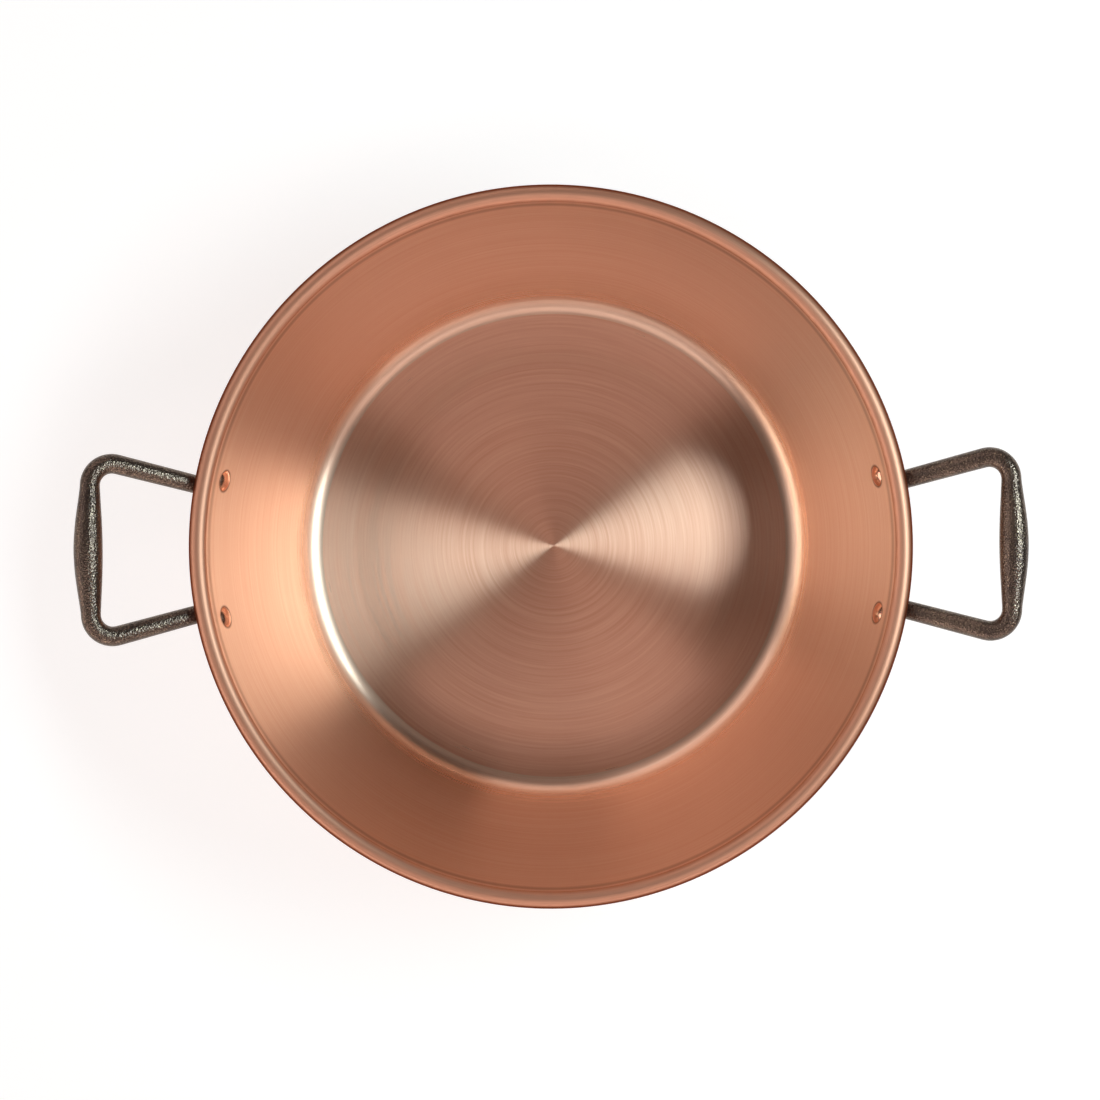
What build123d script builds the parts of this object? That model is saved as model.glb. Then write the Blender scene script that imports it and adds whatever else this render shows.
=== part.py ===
"""Copper jam pan, 38 cm: a spun bowl with a rolled, wired edge and two riveted cast handles.

+Z is up and the pan stands on the XY plane, centred on the Z axis. The handles lie along X.
All lengths are in millimetres and all angles in degrees.
"""

from build123d import *

import os
from math import asin, atan2, cos, degrees, hypot, radians, sin, sqrt, tan

# Copper sheet and the overall size of the bowl
rim_diameter = 380.0
pan_height = 125.0
sheet_thickness = 1.5

# Base: a flat disc, then a shallow ring that rises to the corner under the wall
base_flat_diameter = 227.0
base_ring_width = 26.3
base_rise = 1.1
base_break_radius = 60.0
corner_radius = 12.0

# Rolled edge: the sheet turns outwards round a steel wire
wire_diameter = 6.5
wire_clearance = 0.05
curl_turn_angle = 300.0

# Rivets: a low domed head inside, a shank, and a tail hammered over on the handle's foot
rivet_spacing = 72.6
rivet_drop = 17.0
rivet_head_diameter = 10.8
rivet_head_height = 1.9
rivet_shank_diameter = 5.4
rivet_tail_diameter = 8.6
rivet_tail_height = 1.8
rivet_clearance = 0.05

# Cast handle: two legs, two bends and a swelling grip, in a plane that rises outwards
handle_rise_angle = 20.0
handle_rim_gap = 0.8
leg_spread_at_rim = 70.2
leg_spread_at_grip = 97.0
grip_reach = 53.1
bend_radius = 11.5
leg_width = 9.8
leg_thickness = 8.2
bend_width = 10.5
bend_thickness = 9.0
grip_width = 15.3
grip_thickness = 12.6
grip_outward_share = 0.24
swell_exponent = 1.2
grip_sections = 9

# Foot of the handle: a pad on the wall and a boss round the rivet, with a flat for its tail
foot_width = 22.0
foot_height = 14.4
foot_pad_thickness = 3.4
foot_pad_edge_radius = 1.2
foot_length = 12.0
boss_root_width = 16.0
boss_root_height = 12.6
boss_waist_diameter = 11.2
boss_flat_margin = 0.7
leg_root_width = 12.0
leg_root_thickness = 9.0
leg_flare_length = 10.0
tail_seat_clearance = 0.4
tail_seat_depth = 6.0

# One overrun serves all cuts
overrun = 0.5

# The roll's outer face is the sheet's inner face carried on round the wire
curl_radius = wire_diameter / 2 + wire_clearance + sheet_thickness
curl_centre_r = rim_diameter / 2 - curl_radius
curl_centre_z = pan_height - curl_radius

# The wall's inner face runs from the base corner to a tangent on the roll
corner_r = base_flat_diameter / 2 + base_ring_width
corner_z = sheet_thickness + base_rise
corner_to_curl = hypot(curl_centre_r - corner_r, curl_centre_z - corner_z)
wall_angle = degrees(
    atan2(curl_centre_z - corner_z, curl_centre_r - corner_r)
    + asin(curl_radius / corner_to_curl)
)
wall_length = sqrt(corner_to_curl**2 - curl_radius**2)
ring_angle = degrees(atan2(base_rise, base_ring_width))


def sheet_face(depth):
    """Corners of the sheet's face at a depth under its inner face, from the axis to the roll."""
    half_bend = radians((wall_angle - ring_angle) / 2)
    corner_lean = radians((wall_angle + ring_angle) / 2)
    lean = radians(wall_angle)
    return [
        (0, sheet_thickness - depth),
        (
            base_flat_diameter / 2 + depth * tan(radians(ring_angle / 2)),
            sheet_thickness - depth,
        ),
        (
            corner_r + depth * sin(corner_lean) / cos(half_bend),
            corner_z - depth * cos(corner_lean) / cos(half_bend),
        ),
        (
            corner_r + wall_length * cos(lean) + depth * sin(lean),
            corner_z + wall_length * sin(lean) - depth * cos(lean),
        ),
    ]


def wall_radius(height):
    """Radius of the wall's outer face at a height above the table."""
    inner_radius = corner_r + (height - corner_z) / tan(radians(wall_angle))
    return inner_radius + sheet_thickness / sin(radians(wall_angle))


def wall_plane(side_offset, height):
    """Plane on the wall's outer face at the right: x runs round the pan, z points outwards."""
    radius = wall_radius(height)
    azimuth = asin(side_offset / radius)
    slope = radians(wall_angle)
    return Plane(
        origin=(radius * cos(azimuth), side_offset, height),
        x_dir=(-sin(azimuth), cos(azimuth), 0),
        z_dir=(sin(slope) * cos(azimuth), sin(slope) * sin(azimuth), -cos(slope)),
    )


# Places of the two rivets at the right; the left-hand side is turned half round
rivet_height = pan_height - rivet_drop
rivet_planes = {
    "back": wall_plane(rivet_spacing / 2, rivet_height),
    "front": wall_plane(-rivet_spacing / 2, rivet_height),
}
half_turn = (0, 0, 180)

# Bores for the rivets, through the wall and the handle's feet
with BuildPart() as rivet_bores:
    for plane in rivet_planes.values():
        with BuildSketch(plane.offset(-sheet_thickness - overrun)):
            Circle(rivet_shank_diameter / 2 + rivet_clearance)
        extrude(amount=sheet_thickness + foot_length + 2 * overrun)

# Bowl of spun sheet with a rolled edge, pierced for the rivets
with BuildPart() as pan_body:
    with BuildSketch(Plane.XZ):
        with BuildLine():
            inner_face = FilletPolyline(
                *sheet_face(0),
                radius=[base_break_radius, corner_radius],
            )
            roll_outside = JernArc(
                start=inner_face @ 1,
                tangent=inner_face % 1,
                radius=curl_radius,
                arc_size=-curl_turn_angle,
            )
            outer_face = FilletPolyline(
                *sheet_face(sheet_thickness),
                radius=[base_break_radius + sheet_thickness, corner_radius + sheet_thickness],
            )
            roll_inside = JernArc(
                start=outer_face @ 1,
                tangent=outer_face % 1,
                radius=curl_radius - sheet_thickness,
                arc_size=-curl_turn_angle,
            )
            Line(inner_face @ 0, outer_face @ 0)
            Line(roll_outside @ 1, roll_inside @ 1)
        make_face()
    revolve(axis=Axis.Z)
    add(rivet_bores.part, mode=Mode.SUBTRACT)
    add(rivet_bores.part, rotation=half_turn, mode=Mode.SUBTRACT)
pan_body.part.label = "pan_body"

# Steel wire that the edge is rolled round
with BuildPart() as rim_wire:
    with BuildSketch(Plane.XZ):
        with Locations((curl_centre_r, curl_centre_z)):
            Circle(wire_diameter / 2)
    revolve(axis=Axis.Z)
rim_wire.part.label = "rim_wire"

# The handle's plane is level across the pan, and its legs pass under the bead with a clearance
rise = radians(handle_rise_angle)
bead_x = sqrt(curl_centre_r**2 - (leg_spread_at_rim / 2) ** 2)
leg_drop = curl_radius + handle_rim_gap + leg_thickness / 2
pass_x = bead_x + leg_drop * sin(rise)
pass_z = curl_centre_z - leg_drop * cos(rise)
handle_plane = Plane(
    origin=(rim_diameter / 2, 0, pass_z + (rim_diameter / 2 - pass_x) * tan(rise)),
    x_dir=(cos(rise), 0, sin(rise)),
    z_dir=(-sin(rise), 0, cos(rise)),
)

# Middle line of the back leg, from its bend to the wall, in the handle's plane
leg_angle = degrees(atan2((leg_spread_at_grip - leg_spread_at_rim) / 2, grip_reach))
bend_turn = 90 + leg_angle
bend_trim = bend_radius * tan(radians(bend_turn / 2))
half_grip = leg_spread_at_grip / 2 - bend_trim
wall_reach = (rivet_planes["back"].origin.X - rim_diameter / 2) / cos(rise)
leg_length = (grip_reach - wall_reach) / cos(radians(leg_angle)) - bend_trim
flare_start = leg_length - leg_flare_length


def handle_oval(reach, side, heading, width, thickness):
    """Oval section of the handle, square to a heading, at a place in the handle's plane."""
    along = handle_plane.x_dir * cos(radians(heading)) + handle_plane.y_dir * sin(radians(heading))
    square = Plane(
        origin=handle_plane.from_local_coords((reach, side, 0)),
        x_dir=handle_plane.z_dir.cross(along),
        z_dir=along,
    )
    with BuildSketch(square) as oval:
        Ellipse(width / 2, thickness / 2)
    return oval.sketch


def leg_oval(distance, width, thickness):
    """Oval section of the back leg at a distance from the end of its bend."""
    back = bend_trim + distance
    return handle_oval(
        grip_reach - back * cos(radians(leg_angle)),
        leg_spread_at_grip / 2 - back * sin(radians(leg_angle)),
        180 + leg_angle,
        width,
        thickness,
    )


def grip_oval(side):
    """Oval section of the grip at a place along it, swelling outwards to the middle."""
    swell = max(0, cos(radians(90) * side / half_grip)) ** swell_exponent
    width = bend_width + (grip_width - bend_width) * swell
    thickness = bend_thickness + (grip_thickness - bend_thickness) * swell
    reach = grip_reach + grip_outward_share * (width - bend_width)
    return handle_oval(reach, side, 90, width, thickness)


def make_foot(plane):
    """Foot of one leg on a plane of the wall's outer face: the pad and the boss for the rivet."""
    with BuildPart() as foot:
        with BuildSketch(plane.offset(-sheet_thickness)):
            Ellipse(foot_width / 2, foot_height / 2)
        extrude(amount=sheet_thickness + foot_pad_thickness)
        pad_front = foot.faces().sort_by(Axis(plane.origin, plane.z_dir))[-1]
        fillet(pad_front.edges(), radius=foot_pad_edge_radius)
        with BuildSketch(plane.offset(foot_pad_thickness - foot_pad_edge_radius)):
            Ellipse(boss_root_width / 2, boss_root_height / 2)
        with BuildSketch(plane.offset((foot_pad_thickness + foot_length) / 2)):
            Circle(boss_waist_diameter / 2)
        with BuildSketch(plane.offset(foot_length)):
            Circle(rivet_tail_diameter / 2 + boss_flat_margin)
        loft()
    return foot.part


# Back leg with its bend and its foot; its root runs on through the wall, to be trimmed there
with BuildPart() as handle_leg:
    loft(
        sections=[
            leg_oval(0, bend_width, bend_thickness),
            leg_oval(flare_start, leg_width, leg_thickness),
        ]
    )
    loft(
        sections=[
            leg_oval(flare_start, leg_width, leg_thickness),
            leg_oval(leg_length, leg_root_width, leg_root_thickness),
            leg_oval(leg_length + leg_root_thickness, leg_root_width, leg_root_thickness),
        ]
    )
    revolve(
        grip_oval(half_grip),
        axis=Axis(
            handle_plane.from_local_coords((grip_reach - bend_radius, half_grip, 0)),
            handle_plane.z_dir,
        ),
        revolution_arc=bend_turn,
    )
    add(make_foot(rivet_planes["back"]))

# Cast handle at the right, trimmed to the wall's outer face and bored for its rivets
with BuildPart() as handle_right:
    grip_step = 2 * half_grip / (grip_sections - 1)
    loft(sections=[grip_oval(step * grip_step - half_grip) for step in range(grip_sections)])
    add(handle_leg.part)
    mirror(handle_leg.part, about=Plane.XZ)
    with BuildSketch(Plane.XZ):
        Polygon(
            (0, 0),
            (wall_radius(0), 0),
            (wall_radius(pan_height), pan_height),
            (0, pan_height),
            align=None,
        )
    revolve(axis=Axis.Z, mode=Mode.SUBTRACT)
    for plane in rivet_planes.values():
        with BuildSketch(plane.offset(foot_length)):
            Circle(rivet_tail_diameter / 2 + tail_seat_clearance)
        extrude(amount=tail_seat_depth, mode=Mode.SUBTRACT)
    add(rivet_bores.part, mode=Mode.SUBTRACT)
handle_right.part.label = "handle_right"

with BuildPart() as handle_left:
    add(handle_right.part, rotation=half_turn)
handle_left.part.label = "handle_left"


def make_rivet(plane):
    """Rivet on a plane of the wall's outer face, its head shaped to the wall inside."""
    profile_plane = Plane(origin=plane.origin, x_dir=plane.x_dir, z_dir=-plane.y_dir)
    head_radius = rivet_head_diameter / 2
    shank_radius = rivet_shank_diameter / 2
    tail_radius = rivet_tail_diameter / 2
    with BuildPart() as rivet:
        with BuildSketch(profile_plane):
            with BuildLine():
                head_top = (0, -sheet_thickness - rivet_head_height)
                head = TangentArc(head_top, (head_radius, -sheet_thickness), tangent=(1, 0))
                tail_top = (0, foot_length + rivet_tail_height)
                tail = TangentArc(tail_top, (tail_radius, foot_length), tangent=(1, 0))
                Polyline(
                    head @ 1,
                    (shank_radius, -sheet_thickness),
                    (shank_radius, foot_length),
                    tail @ 1,
                )
                Line(head_top, tail_top)
            make_face()
        revolve(axis=Axis(plane.origin, plane.z_dir))
        add(pan_body.part, mode=Mode.SUBTRACT)
    return rivet.part


# Four copper rivets
rivets = {}
for end, plane in rivet_planes.items():
    rivets["rivet_right_" + end] = make_rivet(plane)
    with BuildPart() as turned_rivet:
        add(rivets["rivet_right_" + end], rotation=half_turn)
    opposite_end = {"back": "front", "front": "back"}[end]
    rivets["rivet_left_" + opposite_end] = turned_rivet.part
for name, rivet in rivets.items():
    rivet.label = name

os.makedirs("parts", exist_ok=True)
for piece in [pan_body.part, rim_wire.part, handle_right.part, handle_left.part, *rivets.values()]:
    export_step(piece, f"parts/{piece.label}.step")
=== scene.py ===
"""Copper jam pan, 38 cm: spun bowl, wired edge, two cast handles and four rivets.

Metres, +Z up. The pan stands on z = 0, and its handles lie along X.
"""

from math import asin, atan2, cos, hypot, pi, radians, sin, sqrt, tan

import bmesh
import bpy
from mathutils import Euler, Matrix, Vector


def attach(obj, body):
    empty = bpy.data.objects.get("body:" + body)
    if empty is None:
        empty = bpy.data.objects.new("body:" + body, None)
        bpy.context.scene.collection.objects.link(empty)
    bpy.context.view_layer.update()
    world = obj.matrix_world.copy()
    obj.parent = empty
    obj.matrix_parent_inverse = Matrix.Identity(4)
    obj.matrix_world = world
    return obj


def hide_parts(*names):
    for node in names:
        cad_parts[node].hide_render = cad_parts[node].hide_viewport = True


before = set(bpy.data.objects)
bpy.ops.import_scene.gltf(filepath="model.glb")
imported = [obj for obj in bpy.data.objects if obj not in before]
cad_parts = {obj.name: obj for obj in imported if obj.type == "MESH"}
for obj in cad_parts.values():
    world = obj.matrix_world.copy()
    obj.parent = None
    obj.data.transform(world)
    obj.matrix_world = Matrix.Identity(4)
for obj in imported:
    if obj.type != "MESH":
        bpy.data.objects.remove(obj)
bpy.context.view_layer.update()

# ------------------------------------------------------------------------------------------
# Bowl. One sheet of 1.5 mm copper, spun on a lathe: flat base, shallow ring, conical wall,
# and an edge rolled outwards round a wire. Its inside is turned and brushed round and round,
# so light lies across the grooves as a bright wedge, and its bead is polished.
MM = 0.001
SHEET = 1.5 * MM
RIM_RADIUS = 189.99 * MM
PAN_HEIGHT = 125 * MM
BASE_FLAT_RADIUS = 113.5 * MM
BASE_RING_WIDTH = 26.3 * MM
BASE_RISE = 1.1 * MM
BASE_BREAK_RADIUS = 60 * MM
CORNER_RADIUS = 12 * MM
ROLL_RADIUS = 4.8 * MM
ROLL_TURN = radians(300)
MIDDLE_RADIUS = 5 * MM
AROUND = 256


def linear(code):
    """Linear red, green, blue and alpha of an sRGB hex colour."""
    channels = [int(code[place : place + 2], 16) / 255 for place in (1, 3, 5)]
    return [c / 12.92 if c <= 0.04045 else ((c + 0.055) / 1.055) ** 2.4 for c in channels] + [1]


def feed(tree, node, **inputs):
    """Values or other nodes' sockets on a node's inputs, by name, or by number as in i0."""
    for name, value in inputs.items():
        key = int(name[1:]) if name[0] == "i" and name[1:].isdigit() else name.replace("_", " ")
        if isinstance(value, bpy.types.NodeSocket):
            tree.links.new(value, node.inputs[key])
        else:
            node.inputs[key].default_value = value


def add_node(tree, kind, settings=None, **inputs):
    """A node with its settings, and with its inputs fed."""
    made = tree.nodes.new(kind)
    for name, value in (settings or {}).items():
        setattr(made, name, value)
    feed(tree, made, **inputs)
    return made


def begin_material(name):
    """A new material, its tree and its Principled shader."""
    material = bpy.data.materials.new(name)
    material.use_nodes = True
    tree = material.node_tree
    return material, tree, tree.nodes["Principled BSDF"]


def deselect():
    """Out of edit mode, with nothing selected."""
    if bpy.context.object and bpy.context.object.mode != "OBJECT":
        bpy.ops.object.mode_set(mode="OBJECT")
    bpy.ops.object.select_all(action="DESELECT")


def pick(piece, kind, test):
    """In edit mode, only the vertices, edges or faces that pass the test are selected."""
    bpy.ops.mesh.select_mode(type=kind)
    bpy.ops.mesh.select_all(action="DESELECT")
    mesh = bmesh.from_edit_mesh(piece.data)
    for element in {"VERT": mesh.verts, "EDGE": mesh.edges, "FACE": mesh.faces}[kind]:
        if test(element):
            element.select = True
    mesh.select_flush_mode()
    bmesh.update_edit_mesh(piece.data)


# The line that the sheet's inner face follows, from the middle of the base to the rolled edge
ring_angle = atan2(BASE_RISE, BASE_RING_WIDTH)
corner = Vector((BASE_FLAT_RADIUS + BASE_RING_WIDTH, SHEET + BASE_RISE))
roll_centre = Vector((RIM_RADIUS - ROLL_RADIUS, PAN_HEIGHT - ROLL_RADIUS))
reach = (roll_centre - corner).length
wall_angle = atan2(roll_centre.y - corner.y, roll_centre.x - corner.x) + asin(ROLL_RADIUS / reach)
break_trim = BASE_BREAK_RADIUS * tan(ring_angle / 2)
corner_trim = CORNER_RADIUS * tan((wall_angle - ring_angle) / 2)
ring_run = hypot(BASE_RING_WIDTH, BASE_RISE) - break_trim - corner_trim
wall_run = sqrt(reach**2 - ROLL_RADIUS**2) - corner_trim

# Each stretch of the line: its length, how far it turns, and the number of steps
stretches = [
    (BASE_FLAT_RADIUS - break_trim - MIDDLE_RADIUS, 0, 12),
    (BASE_BREAK_RADIUS * ring_angle, ring_angle, 2),
    (ring_run, 0, 2),
    (CORNER_RADIUS * (wall_angle - ring_angle), wall_angle - ring_angle, 14),
    (wall_run, 0, 12),
    (ROLL_RADIUS * ROLL_TURN, -ROLL_TURN, 36),
]
place = Vector((MIDDLE_RADIUS, SHEET))
heading = 0
stations = [place.copy()]
for length, turn, steps in stretches:
    chord = length / steps
    if turn:
        chord *= 2 * abs(steps / turn) * sin(abs(turn) / steps / 2)
    for _ in range(steps):
        heading += turn / steps / 2
        place = place + chord * Vector((cos(heading), sin(heading)))
        heading += turn / steps / 2
        stations.append(place.copy())

# A small disc in the middle of the base, drawn out ring by ring
deselect()
bpy.ops.mesh.primitive_circle_add(
    vertices=AROUND, radius=stations[0].x, fill_type="TRIFAN", location=(0, 0, stations[0].y)
)
bowl = bpy.context.object
bowl.name = "bowl"
bpy.ops.object.transform_apply()
bpy.ops.object.mode_set(mode="EDIT")
pick(bowl, "EDGE", lambda edge: edge.is_boundary)
for before, after in zip(stations, stations[1:]):
    bpy.ops.mesh.extrude_edges_move(
        TRANSFORM_OT_translate={"value": (0, 0, after.y - before.y)}
    )
    grown = after.x / before.x
    bpy.ops.transform.resize(value=(grown, grown, 1), center_override=(0, 0, 0))
bpy.ops.mesh.select_all(action="SELECT")
bpy.ops.mesh.normals_make_consistent(inside=False)
bpy.ops.object.mode_set(mode="OBJECT")
if bowl.data.polygons[0].normal.z < 0:
    bowl.data.flip_normals()
bpy.ops.object.shade_smooth()
sheet = bowl.modifiers.new("sheet", "SOLIDIFY")
sheet.thickness = SHEET
sheet.offset = -1
sheet.use_even_offset = True
sheet.use_rim = True
bpy.ops.object.modifier_apply(modifier=sheet.name)


# Painted shade: one dark tone darkens the copper in the crease under the bead, in a ring round
# each of the four rivet heads, and on the bead's outer side
PAINTED_SHADE_TONE = "#9c7a68"
CREASE = 298.6 * MM  # along the sheet, as brushed_copper counts it
CREASE_WIDTH = 3.6 * MM
CREASE_SHADE = 0.45
RIVET_DROP = 17 * MM
RIVET_APART = 72.6 * MM
RIVET_HEAD_RADIUS = 5.4 * MM
HEAD_SHADE_WIDTH = 1.5 * MM
BEAD_SHADE_BEGINS = 2.2 * MM
BEAD_SHADE_FULL = 4.0 * MM
rivet_height = PAN_HEIGHT - RIVET_DROP
rivet_reach = corner.x + (rivet_height - corner.y) / tan(wall_angle) + SHEET / sin(wall_angle)
rivet_azimuth = asin(RIVET_APART / 2 / rivet_reach)
rivet_place = Vector((rivet_reach, 0, rivet_height)) - SHEET * Vector(
    (sin(wall_angle), 0, -cos(wall_angle))
)
rivet_place.rotate(Euler((0, 0, rivet_azimuth)))


def closeness(tree, value, target, width):
    """From 1 at the target to 0 at a width from it."""
    away = add_node(tree, "ShaderNodeMath", {"operation": "SUBTRACT"}, i0=value, i1=target)
    away = add_node(tree, "ShaderNodeMath", {"operation": "ABSOLUTE"}, i0=away.outputs[0])
    return add_node(
        tree,
        "ShaderNodeMapRange",
        {"interpolation_type": "SMOOTHSTEP"},
        Value=away.outputs[0],
        From_Max=width,
        To_Min=1.0,
        To_Max=0.0,
    ).outputs["Result"]


def painted_shade_on_wall(tree, spot):
    """How much painted shade darkens a spot on the wall, in the crease and round the rivet heads,
    from 0 to 1.
    """
    # Without their signs, the four rivets' places are one
    quarter = add_node(tree, "ShaderNodeVectorMath", {"operation": "ABSOLUTE"}, i0=spot["place"])
    away = add_node(
        tree,
        "ShaderNodeVectorMath",
        {"operation": "DISTANCE"},
        i0=quarter.outputs[0],
        i1=rivet_place,
    )
    round_head = closeness(tree, away.outputs["Value"], RIVET_HEAD_RADIUS, HEAD_SHADE_WIDTH)
    in_crease = add_node(
        tree,
        "ShaderNodeMath",
        {"operation": "MULTIPLY"},
        i0=closeness(tree, spot["along"], CREASE, CREASE_WIDTH),
        i1=CREASE_SHADE,
    )
    return add_node(
        tree, "ShaderNodeMath", {"operation": "MAXIMUM"}, i0=round_head, i1=in_crease.outputs[0]
    ).outputs[0]


def painted_shade_on_bead(tree, spot):
    """How much painted shade darkens the bead's outer side at a spot, from 0 to 1."""
    return add_node(
        tree,
        "ShaderNodeMapRange",
        {"interpolation_type": "SMOOTHSTEP"},
        Value=spot["radius"],
        From_Min=roll_centre.x + BEAD_SHADE_BEGINS,
        From_Max=roll_centre.x + BEAD_SHADE_FULL,
    ).outputs["Result"]


GROOVE_DEPTH = 0.05 * MM
GROOVE_TONES = (0.32, 0.68, 0.75)  # where the deeper tone begins and is full, and its most
PATCH_WIDTH = 71.43 * MM
PATCH_SHARE = 0.25


def brushed_copper(
    name, tone, deep, finish, spacing, streak, anisotropy, bump, uneven_by, painted_shading=None
):
    """Copper brushed round and round, with grooves at a spacing and about a streak long.

    The finish is a list of distances along the sheet, each with the roughness there, which
    varies by uneven_by. The colour goes from the tone to the deep one, and the last argument
    gives how much painted shade darkens a spot.
    """
    material, tree, shader = begin_material(name)
    where = add_node(tree, "ShaderNodeTexCoord").outputs["Object"]
    parts = add_node(tree, "ShaderNodeSeparateXYZ", Vector=where).outputs
    flat = add_node(tree, "ShaderNodeCombineXYZ", X=parts["X"], Y=parts["Y"]).outputs[0]
    radius = add_node(
        tree, "ShaderNodeVectorMath", {"operation": "LENGTH"}, Vector=flat
    ).outputs["Value"]
    # Distance along the sheet, near enough: it grows with the radius and with the height
    along = add_node(tree, "ShaderNodeMath", i0=radius, i1=parts["Z"]).outputs[0]
    fine = add_node(tree, "ShaderNodeMath", {"operation": "DIVIDE"}, i0=along, i1=spacing)
    around = add_node(
        tree, "ShaderNodeVectorMath", {"operation": "SCALE"}, Vector=flat, Scale=1 / streak
    )
    turned = add_node(tree, "ShaderNodeSeparateXYZ", Vector=around.outputs[0]).outputs
    grain_place = add_node(
        tree, "ShaderNodeCombineXYZ", X=turned["X"], Y=turned["Y"], Z=fine.outputs[0]
    )
    grooves = add_node(
        tree,
        "ShaderNodeTexNoise",
        Vector=grain_place.outputs[0],
        Scale=1.0,
        Detail=4.0,
        Roughness=0.65,
    ).outputs["Fac"]
    cloud = add_node(
        tree,
        "ShaderNodeTexNoise",
        Vector=where,
        Scale=1 / PATCH_WIDTH,
        Detail=3.0,
        Roughness=0.55,
    ).outputs["Fac"]
    # Colour: mostly one tone, deeper in the grooves and a little in soft patches
    begins, full, most = GROOVE_TONES
    lines = add_node(
        tree, "ShaderNodeMapRange", Value=grooves, From_Min=begins, From_Max=full, To_Max=most
    )
    shade = add_node(
        tree,
        "ShaderNodeMath",
        {"operation": "MULTIPLY_ADD"},
        i0=cloud,
        i1=PATCH_SHARE,
        i2=lines.outputs["Result"],
    ).outputs[0]
    colour = add_node(
        tree,
        "ShaderNodeMix",
        {"data_type": "RGBA"},
        Factor=shade,
        A=linear(tone),
        B=linear(deep),
    ).outputs["Result"]
    # Painted shade: the colour is multiplied by a dark tone as far as the shade mask gives
    if painted_shading:
        spot = {"place": where, "along": along, "radius": radius}
        colour = add_node(
            tree,
            "ShaderNodeMix",
            {"data_type": "RGBA", "blend_type": "MULTIPLY"},
            Factor=painted_shading(tree, spot),
            A=colour,
            B=linear(PAINTED_SHADE_TONE),
        ).outputs["Result"]
    # Roughness: a ramp whose stops are the distances in metres, uneven as the tone is
    ramp = add_node(tree, "ShaderNodeValToRGB", Fac=along)
    for _ in finish[2:]:
        ramp.color_ramp.elements.new(1.0)
    for stop, (distance, level) in zip(ramp.color_ramp.elements, finish):
        stop.position = distance
        stop.color = (level, level, level, 1)
    uneven = add_node(
        tree, "ShaderNodeMapRange", Value=shade, To_Min=1 - uneven_by, To_Max=1 + uneven_by
    )
    dull = add_node(
        tree,
        "ShaderNodeMath",
        {"operation": "MULTIPLY"},
        i0=ramp.outputs["Color"],
        i1=uneven.outputs["Result"],
    )
    relief = add_node(
        tree, "ShaderNodeBump", Strength=bump, Distance=GROOVE_DEPTH, Height=grooves
    )
    # The grooves run round the pan's axis, and the highlight spreads a quarter turn from them
    groove_way = add_node(
        tree, "ShaderNodeVectorMath", {"operation": "CROSS_PRODUCT"}, i0=(0, 0, 1), i1=where
    )
    feed(
        tree,
        shader,
        Base_Color=colour,
        Metallic=1,
        Roughness=dull.outputs[0],
        Normal=relief.outputs["Normal"],
        Anisotropic=anisotropy,
        Anisotropic_Rotation=0.25,
        Tangent=groove_way.outputs[0],
    )
    return material


# Turned on the lathe: the coarsest grooves, duller towards the middle. The spacings here and
# below are coarser than the real ones, so that the grooves show
floor_copper = brushed_copper(
    "turned copper floor",
    tone="#fbcbb0",
    deep="#eaaf93",
    finish=((30 * MM, 0.46), (62 * MM, 0.39), (105 * MM, 0.31), (136 * MM, 0.3)),
    spacing=1.3 * MM,
    streak=71.43 * MM,
    anisotropy=1.0,
    bump=0.12,
    uneven_by=0.12,
)
# Brushed lightly: a satin that keeps the panels' reflections apart
wall_copper = brushed_copper(
    "brushed copper wall",
    tone="#f8dac4",
    deep="#ecc3a8",
    finish=((136 * MM, 0.3), (152 * MM, 0.27), (185 * MM, 0.3)),
    spacing=1.1 * MM,
    streak=111.1 * MM,
    anisotropy=0.9,
    bump=0.03,
    uneven_by=0.04,
    # Painted shade in the crease under the bead and round the rivet heads
    painted_shading=painted_shade_on_wall,
)
# Polished: a soft sheen, red-brown where it turns away; its tone is kept darker than the wall's,
# and its outer side darker still, as painted shade
bead_copper = brushed_copper(
    "polished copper bead",
    tone="#dca78b",
    deep="#cb967c",
    finish=((0.0, 0.48), (1.0, 0.48)),
    spacing=0.5 * MM,
    streak=71.43 * MM,
    anisotropy=0.3,
    bump=0.02,
    uneven_by=0.05,
    # Painted shade on the bead's outer side
    painted_shading=painted_shade_on_bead,
)
feed(
    bead_copper.node_tree,
    bead_copper.node_tree.nodes["Principled BSDF"],
    Specular_Tint=linear("#8a4630"),
)
# Brushed, and out of the photo's sight: fine even grooves
outside_copper = brushed_copper(
    "brushed copper outside",
    tone="#f2c3a8",
    deep="#e5ae90",
    finish=((0.0, 0.32), (1.0, 0.32)),
    spacing=0.8 * MM,
    streak=125 * MM,
    anisotropy=0.9,
    bump=0.06,
    uneven_by=0.1,
)
coppers = (outside_copper, floor_copper, wall_copper, bead_copper)
for copper in coppers:
    bowl.data.materials.append(copper)

SKIN = 0.6 * MM  # under half the sheet, to tell its two faces apart
NEAR = 0.05 * MM


def on_inner_face(centre):
    """Whether a place lies on the sheet's inner face, under the bead."""
    radius = hypot(centre.x, centre.y)
    if centre.z < SHEET + BASE_RISE and radius < corner.x - corner_trim:
        return centre.z > SHEET - SKIN
    offset = (radius - corner.x) * sin(wall_angle) - (centre.z - corner.y) * cos(wall_angle)
    near_corner = radius < corner.x + CORNER_RADIUS
    return offset < SKIN and (not near_corner or centre.z > corner.y - SKIN)


def copper_at(centre):
    """The copper that a place on the sheet shows."""
    radius = hypot(centre.x, centre.y)
    if hypot(radius - roll_centre.x, centre.z - roll_centre.y) < ROLL_RADIUS + NEAR:
        return bead_copper
    if on_inner_face(centre):
        return floor_copper if radius < corner.x - corner_trim else wall_copper
    return outside_copper


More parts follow.
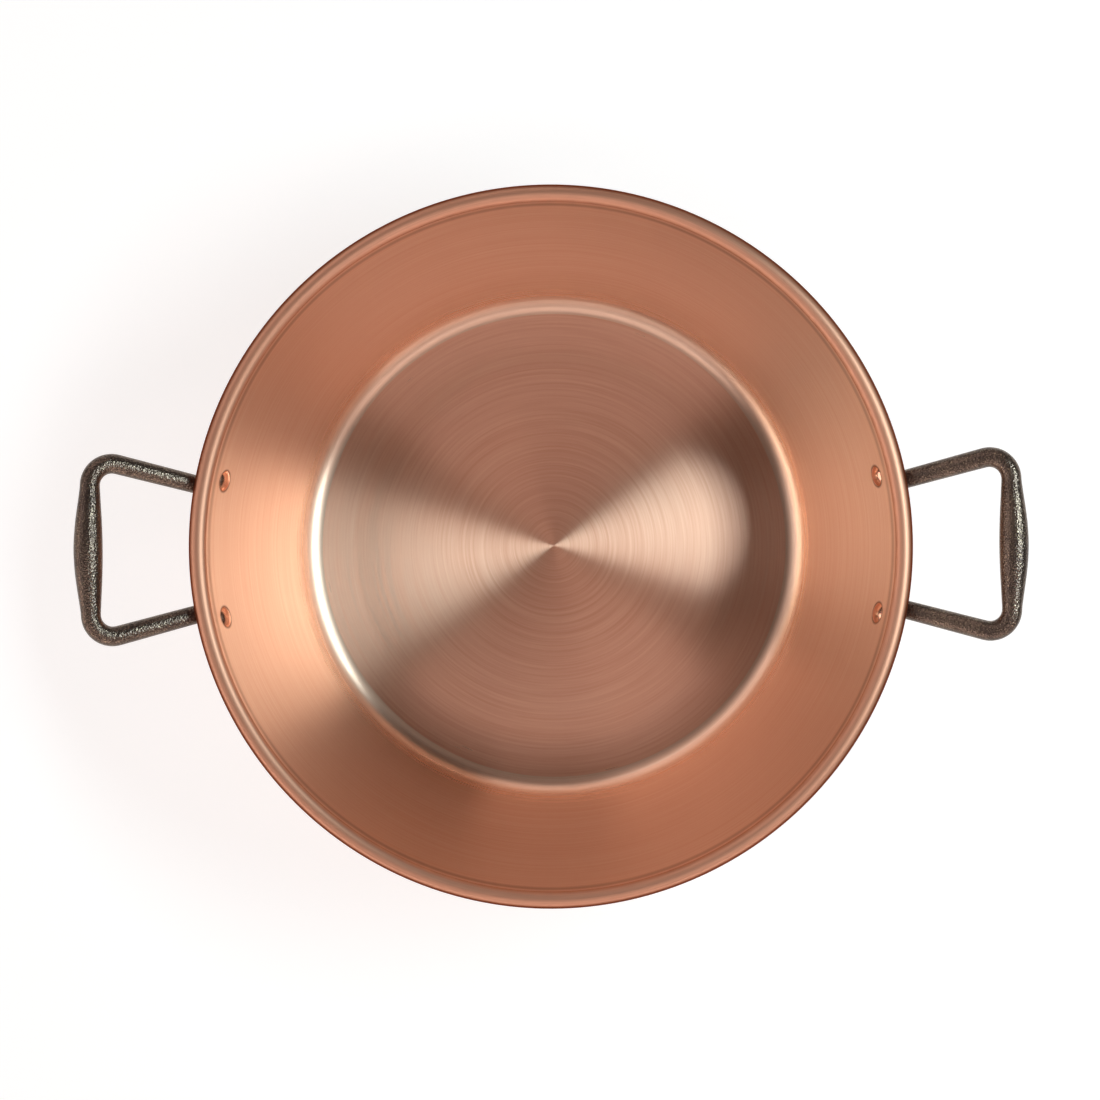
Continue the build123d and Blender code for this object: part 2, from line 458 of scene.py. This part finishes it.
bpy.ops.object.mode_set(mode="EDIT")
for slot_number, copper in enumerate(coppers):
    pick(bowl, "FACE", lambda face: copper_at(face.calc_center_median()) == copper)
    bowl.active_material_index = slot_number
    bpy.ops.object.material_slot_assign()
bpy.ops.object.mode_set(mode="OBJECT")
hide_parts("pan_body")
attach(bowl, "root")

# ------------------------------------------------------------------------------------------
# Wire in the edge. Drawn steel, 6.5 mm thick, shut in by the roll; only its underside shows
# through the narrow gap that the roll leaves.
SCUFF = 1.111 * MM


def cover(node, material):
    """A CAD node keeps its shape and takes a finish of its own."""
    for material_slot in bpy.data.objects[node].material_slots:
        material_slot.material = material


# Drawn through a die: grey, half bright, with small scuffs
wire_steel, tree, shader = begin_material("drawn steel wire")
where = add_node(tree, "ShaderNodeTexCoord").outputs["Object"]
scuffs = add_node(tree, "ShaderNodeTexNoise", Vector=where, Scale=1 / SCUFF, Detail=4.0)
tint = add_node(
    tree,
    "ShaderNodeMix",
    {"data_type": "RGBA"},
    Factor=scuffs.outputs["Fac"],
    A=linear("#a7a8aa"),
    B=linear("#7d7c7b"),
)
feed(tree, shader, Base_Color=tint.outputs["Result"], Metallic=1, Roughness=0.38)
cover("rim_wire", wire_steel)

# ------------------------------------------------------------------------------------------
# Handles. Iron, cast in one piece with its two feet, then sprayed with a dark bronze
# hammered coating that dries in small dimples and carries metal flakes. Each is riveted on.
DIMPLE = 1.0526 * MM
DIMPLE_DEPTH = 0.21 * MM
GRAIN = 0.6667 * MM
GRAIN_SHARE = 0.35
THIN_PLACE = 16.667 * MM
LOOSE = 0.001 * MM
CAST_VOXEL = 0.6 * MM
CAST_SMOOTHING = 8

# Dimples that break the highlight into grains, a tone that shifts where the coating is thin,
# and flakes that catch the light here and there
coated_iron, tree, shader = begin_material("hammered bronze coating on cast iron")
where = add_node(tree, "ShaderNodeTexCoord").outputs["Object"]
dimples = add_node(
    tree,
    "ShaderNodeTexVoronoi",
    {"feature": "SMOOTH_F1"},
    Vector=where,
    Scale=1 / DIMPLE,
    Smoothness=0.25,
    Randomness=1.0,
)
grain = add_node(
    tree, "ShaderNodeTexNoise", Vector=where, Scale=1 / GRAIN, Detail=3.0
).outputs["Fac"]
patches = add_node(tree, "ShaderNodeTexNoise", Vector=where, Scale=1 / THIN_PLACE, Detail=3.0)
height = add_node(
    tree,
    "ShaderNodeMath",
    {"operation": "MULTIPLY_ADD"},
    i0=grain,
    i1=GRAIN_SHARE,
    i2=dimples.outputs["Distance"],
)
thin = add_node(
    tree, "ShaderNodeMapRange", Value=patches.outputs["Fac"], From_Min=0.3, From_Max=0.7
)
tint = add_node(
    tree,
    "ShaderNodeMix",
    {"data_type": "RGBA"},
    Factor=thin.outputs["Result"],
    A=linear("#6e6056"),
    B=linear("#554a45"),
)
flakes = add_node(tree, "ShaderNodeMapRange", Value=grain, From_Min=0.55, From_Max=0.68)
fleck = add_node(
    tree,
    "ShaderNodeMix",
    {"data_type": "RGBA"},
    Factor=flakes.outputs["Result"],
    A=tint.outputs["Result"],
    B=linear("#93846e"),
)
relief = add_node(
    tree, "ShaderNodeBump", Strength=1.0, Distance=DIMPLE_DEPTH, Height=height.outputs[0]
)
feed(
    tree,
    shader,
    Base_Color=fleck.outputs["Result"],
    Metallic=0.9,
    Roughness=0.28,
    Normal=relief.outputs["Normal"],
)

for side in ("right", "left"):
    node = bpy.data.objects["handle_" + side]
    deselect()
    handle = node.copy()
    handle.data = node.data.copy()
    # The copy is a new piece, so it drops the labels of the CAD node
    for key in list(handle.keys()):
        del handle[key]
    handle.name = "cast_handle_" + side
    bpy.context.collection.objects.link(handle)
    bpy.context.view_layer.objects.active = handle
    handle.select_set(True)
    bpy.ops.object.mode_set(mode="EDIT")
    bpy.ops.mesh.select_all(action="SELECT")
    bpy.ops.mesh.remove_doubles(threshold=LOOSE)
    bpy.ops.object.mode_set(mode="OBJECT")
    skin = handle.modifiers.new("skin", "REMESH")
    skin.mode = "VOXEL"
    skin.voxel_size = CAST_VOXEL
    skin.adaptivity = 0
    bpy.ops.object.modifier_apply(modifier=skin.name)
    soften = handle.modifiers.new("soften", "SMOOTH")
    soften.factor = 0.5
    soften.iterations = CAST_SMOOTHING
    bpy.ops.object.modifier_apply(modifier=soften.name)
    bpy.ops.object.shade_smooth()
    handle.data.materials.clear()
    handle.data.materials.append(coated_iron)
    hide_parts("handle_" + side)
    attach(handle, "root")

# ------------------------------------------------------------------------------------------
# Rivets. Copper, two to a handle: a low polished head inside the wall, a shank through the
# wall and the handle's foot, and a tail hammered over on the boss outside.
HAMMER_MARK = 2 * MM
HAMMER_DEPTH = 0.12 * MM

# Polished and a little beaten: small bright and dark figures in each head
rivet_copper, tree, shader = begin_material("polished copper rivet")
where = add_node(tree, "ShaderNodeTexCoord").outputs["Object"]
wear = add_node(
    tree, "ShaderNodeTexNoise", Vector=where, Scale=1 / HAMMER_MARK, Detail=4.0
).outputs["Fac"]
tint = add_node(
    tree,
    "ShaderNodeMix",
    {"data_type": "RGBA"},
    Factor=wear,
    A=linear("#eebfa4"),
    B=linear("#d9a186"),
)
relief = add_node(tree, "ShaderNodeBump", Strength=0.6, Distance=HAMMER_DEPTH, Height=wear)
feed(
    tree,
    shader,
    Base_Color=tint.outputs["Result"],
    Metallic=1,
    Roughness=0.22,
    Normal=relief.outputs["Normal"],
)
for end in ("right_back", "right_front", "left_front", "left_back"):
    cover("rivet_" + end, rivet_copper)

# ------------------------------------------------------------------------------------------
# Floor. A plain pale sheet under the pan. The camera and the metal see it as white, and it
# keeps the pan's shadow.
FLOOR_SIZE = 14
FLOOR_DROP = 0.2 * MM  # so that it doesn't lie in the same plane as the base
FLOOR_LIFT = 0.71  # what the lamps' light on it lacks to white

deselect()
bpy.ops.mesh.primitive_plane_add(size=FLOOR_SIZE, location=(0, 0, -FLOOR_DROP))
floor = bpy.context.object
floor.name = "studio_floor"
# Matt paper, without a sheen of its own
floor_white, tree, shader = begin_material("pale studio floor")
path = add_node(tree, "ShaderNodeLightPath").outputs
seen = add_node(tree, "ShaderNodeMath", i0=path["Is Camera Ray"], i1=path["Is Glossy Ray"])
seen = add_node(
    tree,
    "ShaderNodeMath",
    {"use_clamp": True},
    i0=seen.outputs[0],
    i1=path["Is Transmission Ray"],
)
lift = add_node(
    tree, "ShaderNodeMath", {"operation": "MULTIPLY"}, i0=seen.outputs[0], i1=FLOOR_LIFT
)
feed(
    tree,
    shader,
    Base_Color=linear("#acacab"),
    Roughness=0.9,
    Specular_IOR_Level=0,
    Emission_Color=(1, 1, 1, 1),
    Emission_Strength=lift.outputs[0],
)
floor.data.materials.append(floor_white)

# ------------------------------------------------------------------------------------------
# Studio light. A long oval softbox at the right, whose light makes the wedges on the turned
# floor; a weaker one at the left; and dim walls with soft bright panels, under a dark
# ceiling. The copper shows little else than these.
LAMP_DISTANCE = 1.5
LAMPS = {
    # name: azimuth, elevation, width, height, radiance, colour
    "softbox_right": (8.5, 53.4, 0.93, 0.2, 23.5, (0.8, 1, 1.06)),
    "softbox_left": (183, 44, 0.6, 0.4, 0.6, (0.82, 1, 1.1)),
}
for name, (azimuth, elevation, width, tall, radiance, colour) in LAMPS.items():
    a, e = radians(azimuth), radians(elevation)
    spot = Vector((cos(e) * cos(a), cos(e) * sin(a), sin(e))) * LAMP_DISTANCE
    deselect()
    bpy.ops.object.light_add(type="AREA", location=spot)
    lamp = bpy.context.object
    lamp.name = name
    lamp.rotation_euler = spot.to_track_quat("Z", "Y").to_euler()
    lamp.data.shape = "ELLIPSE"
    lamp.data.size = width
    lamp.data.size_y = tall
    # An area lamp's power is its radiance times pi, times its area
    lamp.data.energy = radiance * pi * (pi / 4 * width * tall)
    lamp.data.color = colour

PANELS = (
    # azimuth of the middle, half the width in azimuth, lower and upper elevation, level
    (243, 72, 12, 25, 3.2),
    (115, 40, 24, 36, 1.7),
    (240, 90, 24, 36, 0.4),
    (155, 50, 34, 46, 0.6),
    (150, 45, 45, 57, 0.7),
    (334, 18, 45, 57, 1.5),
    (270, 50, 57, 68, 2.9),
    (88, 52, 70, 84, 0.35),
)
# How far the light falls off at a panel's edges, in degrees each way
EDGE_AROUND = 4
EDGE_UP = 2
CEILING = 0.03
PANEL_COLOUR = (1, 0.82, 0.77, 1)

world = bpy.data.worlds.new("studio walls")
bpy.context.scene.world = world
world.use_nodes = True
tree = world.node_tree
sky_way = add_node(tree, "ShaderNodeTexCoord").outputs["Generated"]
sky_up = add_node(tree, "ShaderNodeSeparateXYZ", Vector=sky_way).outputs["Z"]
level_way = add_node(
    tree, "ShaderNodeVectorMath", {"operation": "MULTIPLY"}, i0=sky_way, i1=(1, 1, 0)
)
compass = add_node(
    tree, "ShaderNodeVectorMath", {"operation": "NORMALIZE"}, i0=level_way.outputs[0]
).outputs[0]
sky_level = add_node(tree, "ShaderNodeValue").outputs[0]
sky_level.default_value = CEILING
for azimuth, half_width, low, high, level in PANELS:
    a = radians(azimuth)
    facing = add_node(
        tree,
        "ShaderNodeVectorMath",
        {"operation": "DOT_PRODUCT"},
        i0=compass,
        i1=(cos(a), sin(a), 0),
    ).outputs["Value"]
    # The panel's sides, its lower edge and its upper edge: where the light begins and is full
    edges = (
        (facing, cos(radians(half_width + EDGE_AROUND)), cos(radians(half_width - EDGE_AROUND))),
        (sky_up, sin(radians(low - EDGE_UP)), sin(radians(low + EDGE_UP))),
        (sky_up, sin(radians(high + EDGE_UP)), sin(radians(high - EDGE_UP))),
    )
    panel = level
    for value, begins, full in edges:
        fade = add_node(
            tree,
            "ShaderNodeMapRange",
            {"interpolation_type": "SMOOTHSTEP"},
            Value=value,
            From_Min=begins,
            From_Max=full,
        )
        panel = add_node(
            tree,
            "ShaderNodeMath",
            {"operation": "MULTIPLY"},
            i0=fade.outputs["Result"],
            i1=panel,
        ).outputs[0]
    sky_level = add_node(tree, "ShaderNodeMath", i0=sky_level, i1=panel).outputs[0]
feed(tree, tree.nodes["Background"], Color=PANEL_COLOUR, Strength=sky_level)

# ------------------------------------------------------------------------------------------
# Camera. High above the pan, a little to the right of its middle and behind it, and turned
# by a hair, as the photo was taken.
CAMERA_HEIGHT = 1.4
CAMERA_RIGHT = 26 * MM
CAMERA_BACK = 10.6 * MM
AIM_FORWARD = 1.6 * MM
CAMERA_ROLL = -0.4
LENS = 87.35

camera_data = bpy.data.cameras.new("camera_above")
camera_data.sensor_width = 36
camera_data.lens = LENS
camera_data.clip_start = 0.05
camera = bpy.data.objects.new("camera_above", camera_data)
bpy.context.collection.objects.link(camera)
rim_middle = Vector((0, -AIM_FORWARD, PAN_HEIGHT - ROLL_RADIUS))
camera.location = rim_middle + Vector((CAMERA_RIGHT, CAMERA_BACK, CAMERA_HEIGHT))
view_back = (camera.location - rim_middle).normalized()
roll = radians(CAMERA_ROLL)
picture_right = Vector((cos(roll), sin(roll), 0))
picture_up = view_back.cross(picture_right).normalized()
picture_right = picture_up.cross(view_back)
camera.matrix_world = Matrix.Translation(camera.location) @ Matrix(
    (picture_right, picture_up, view_back)
).transposed().to_4x4()
bpy.context.scene.camera = camera
bpy.context.scene.view_settings.view_transform = "Standard"
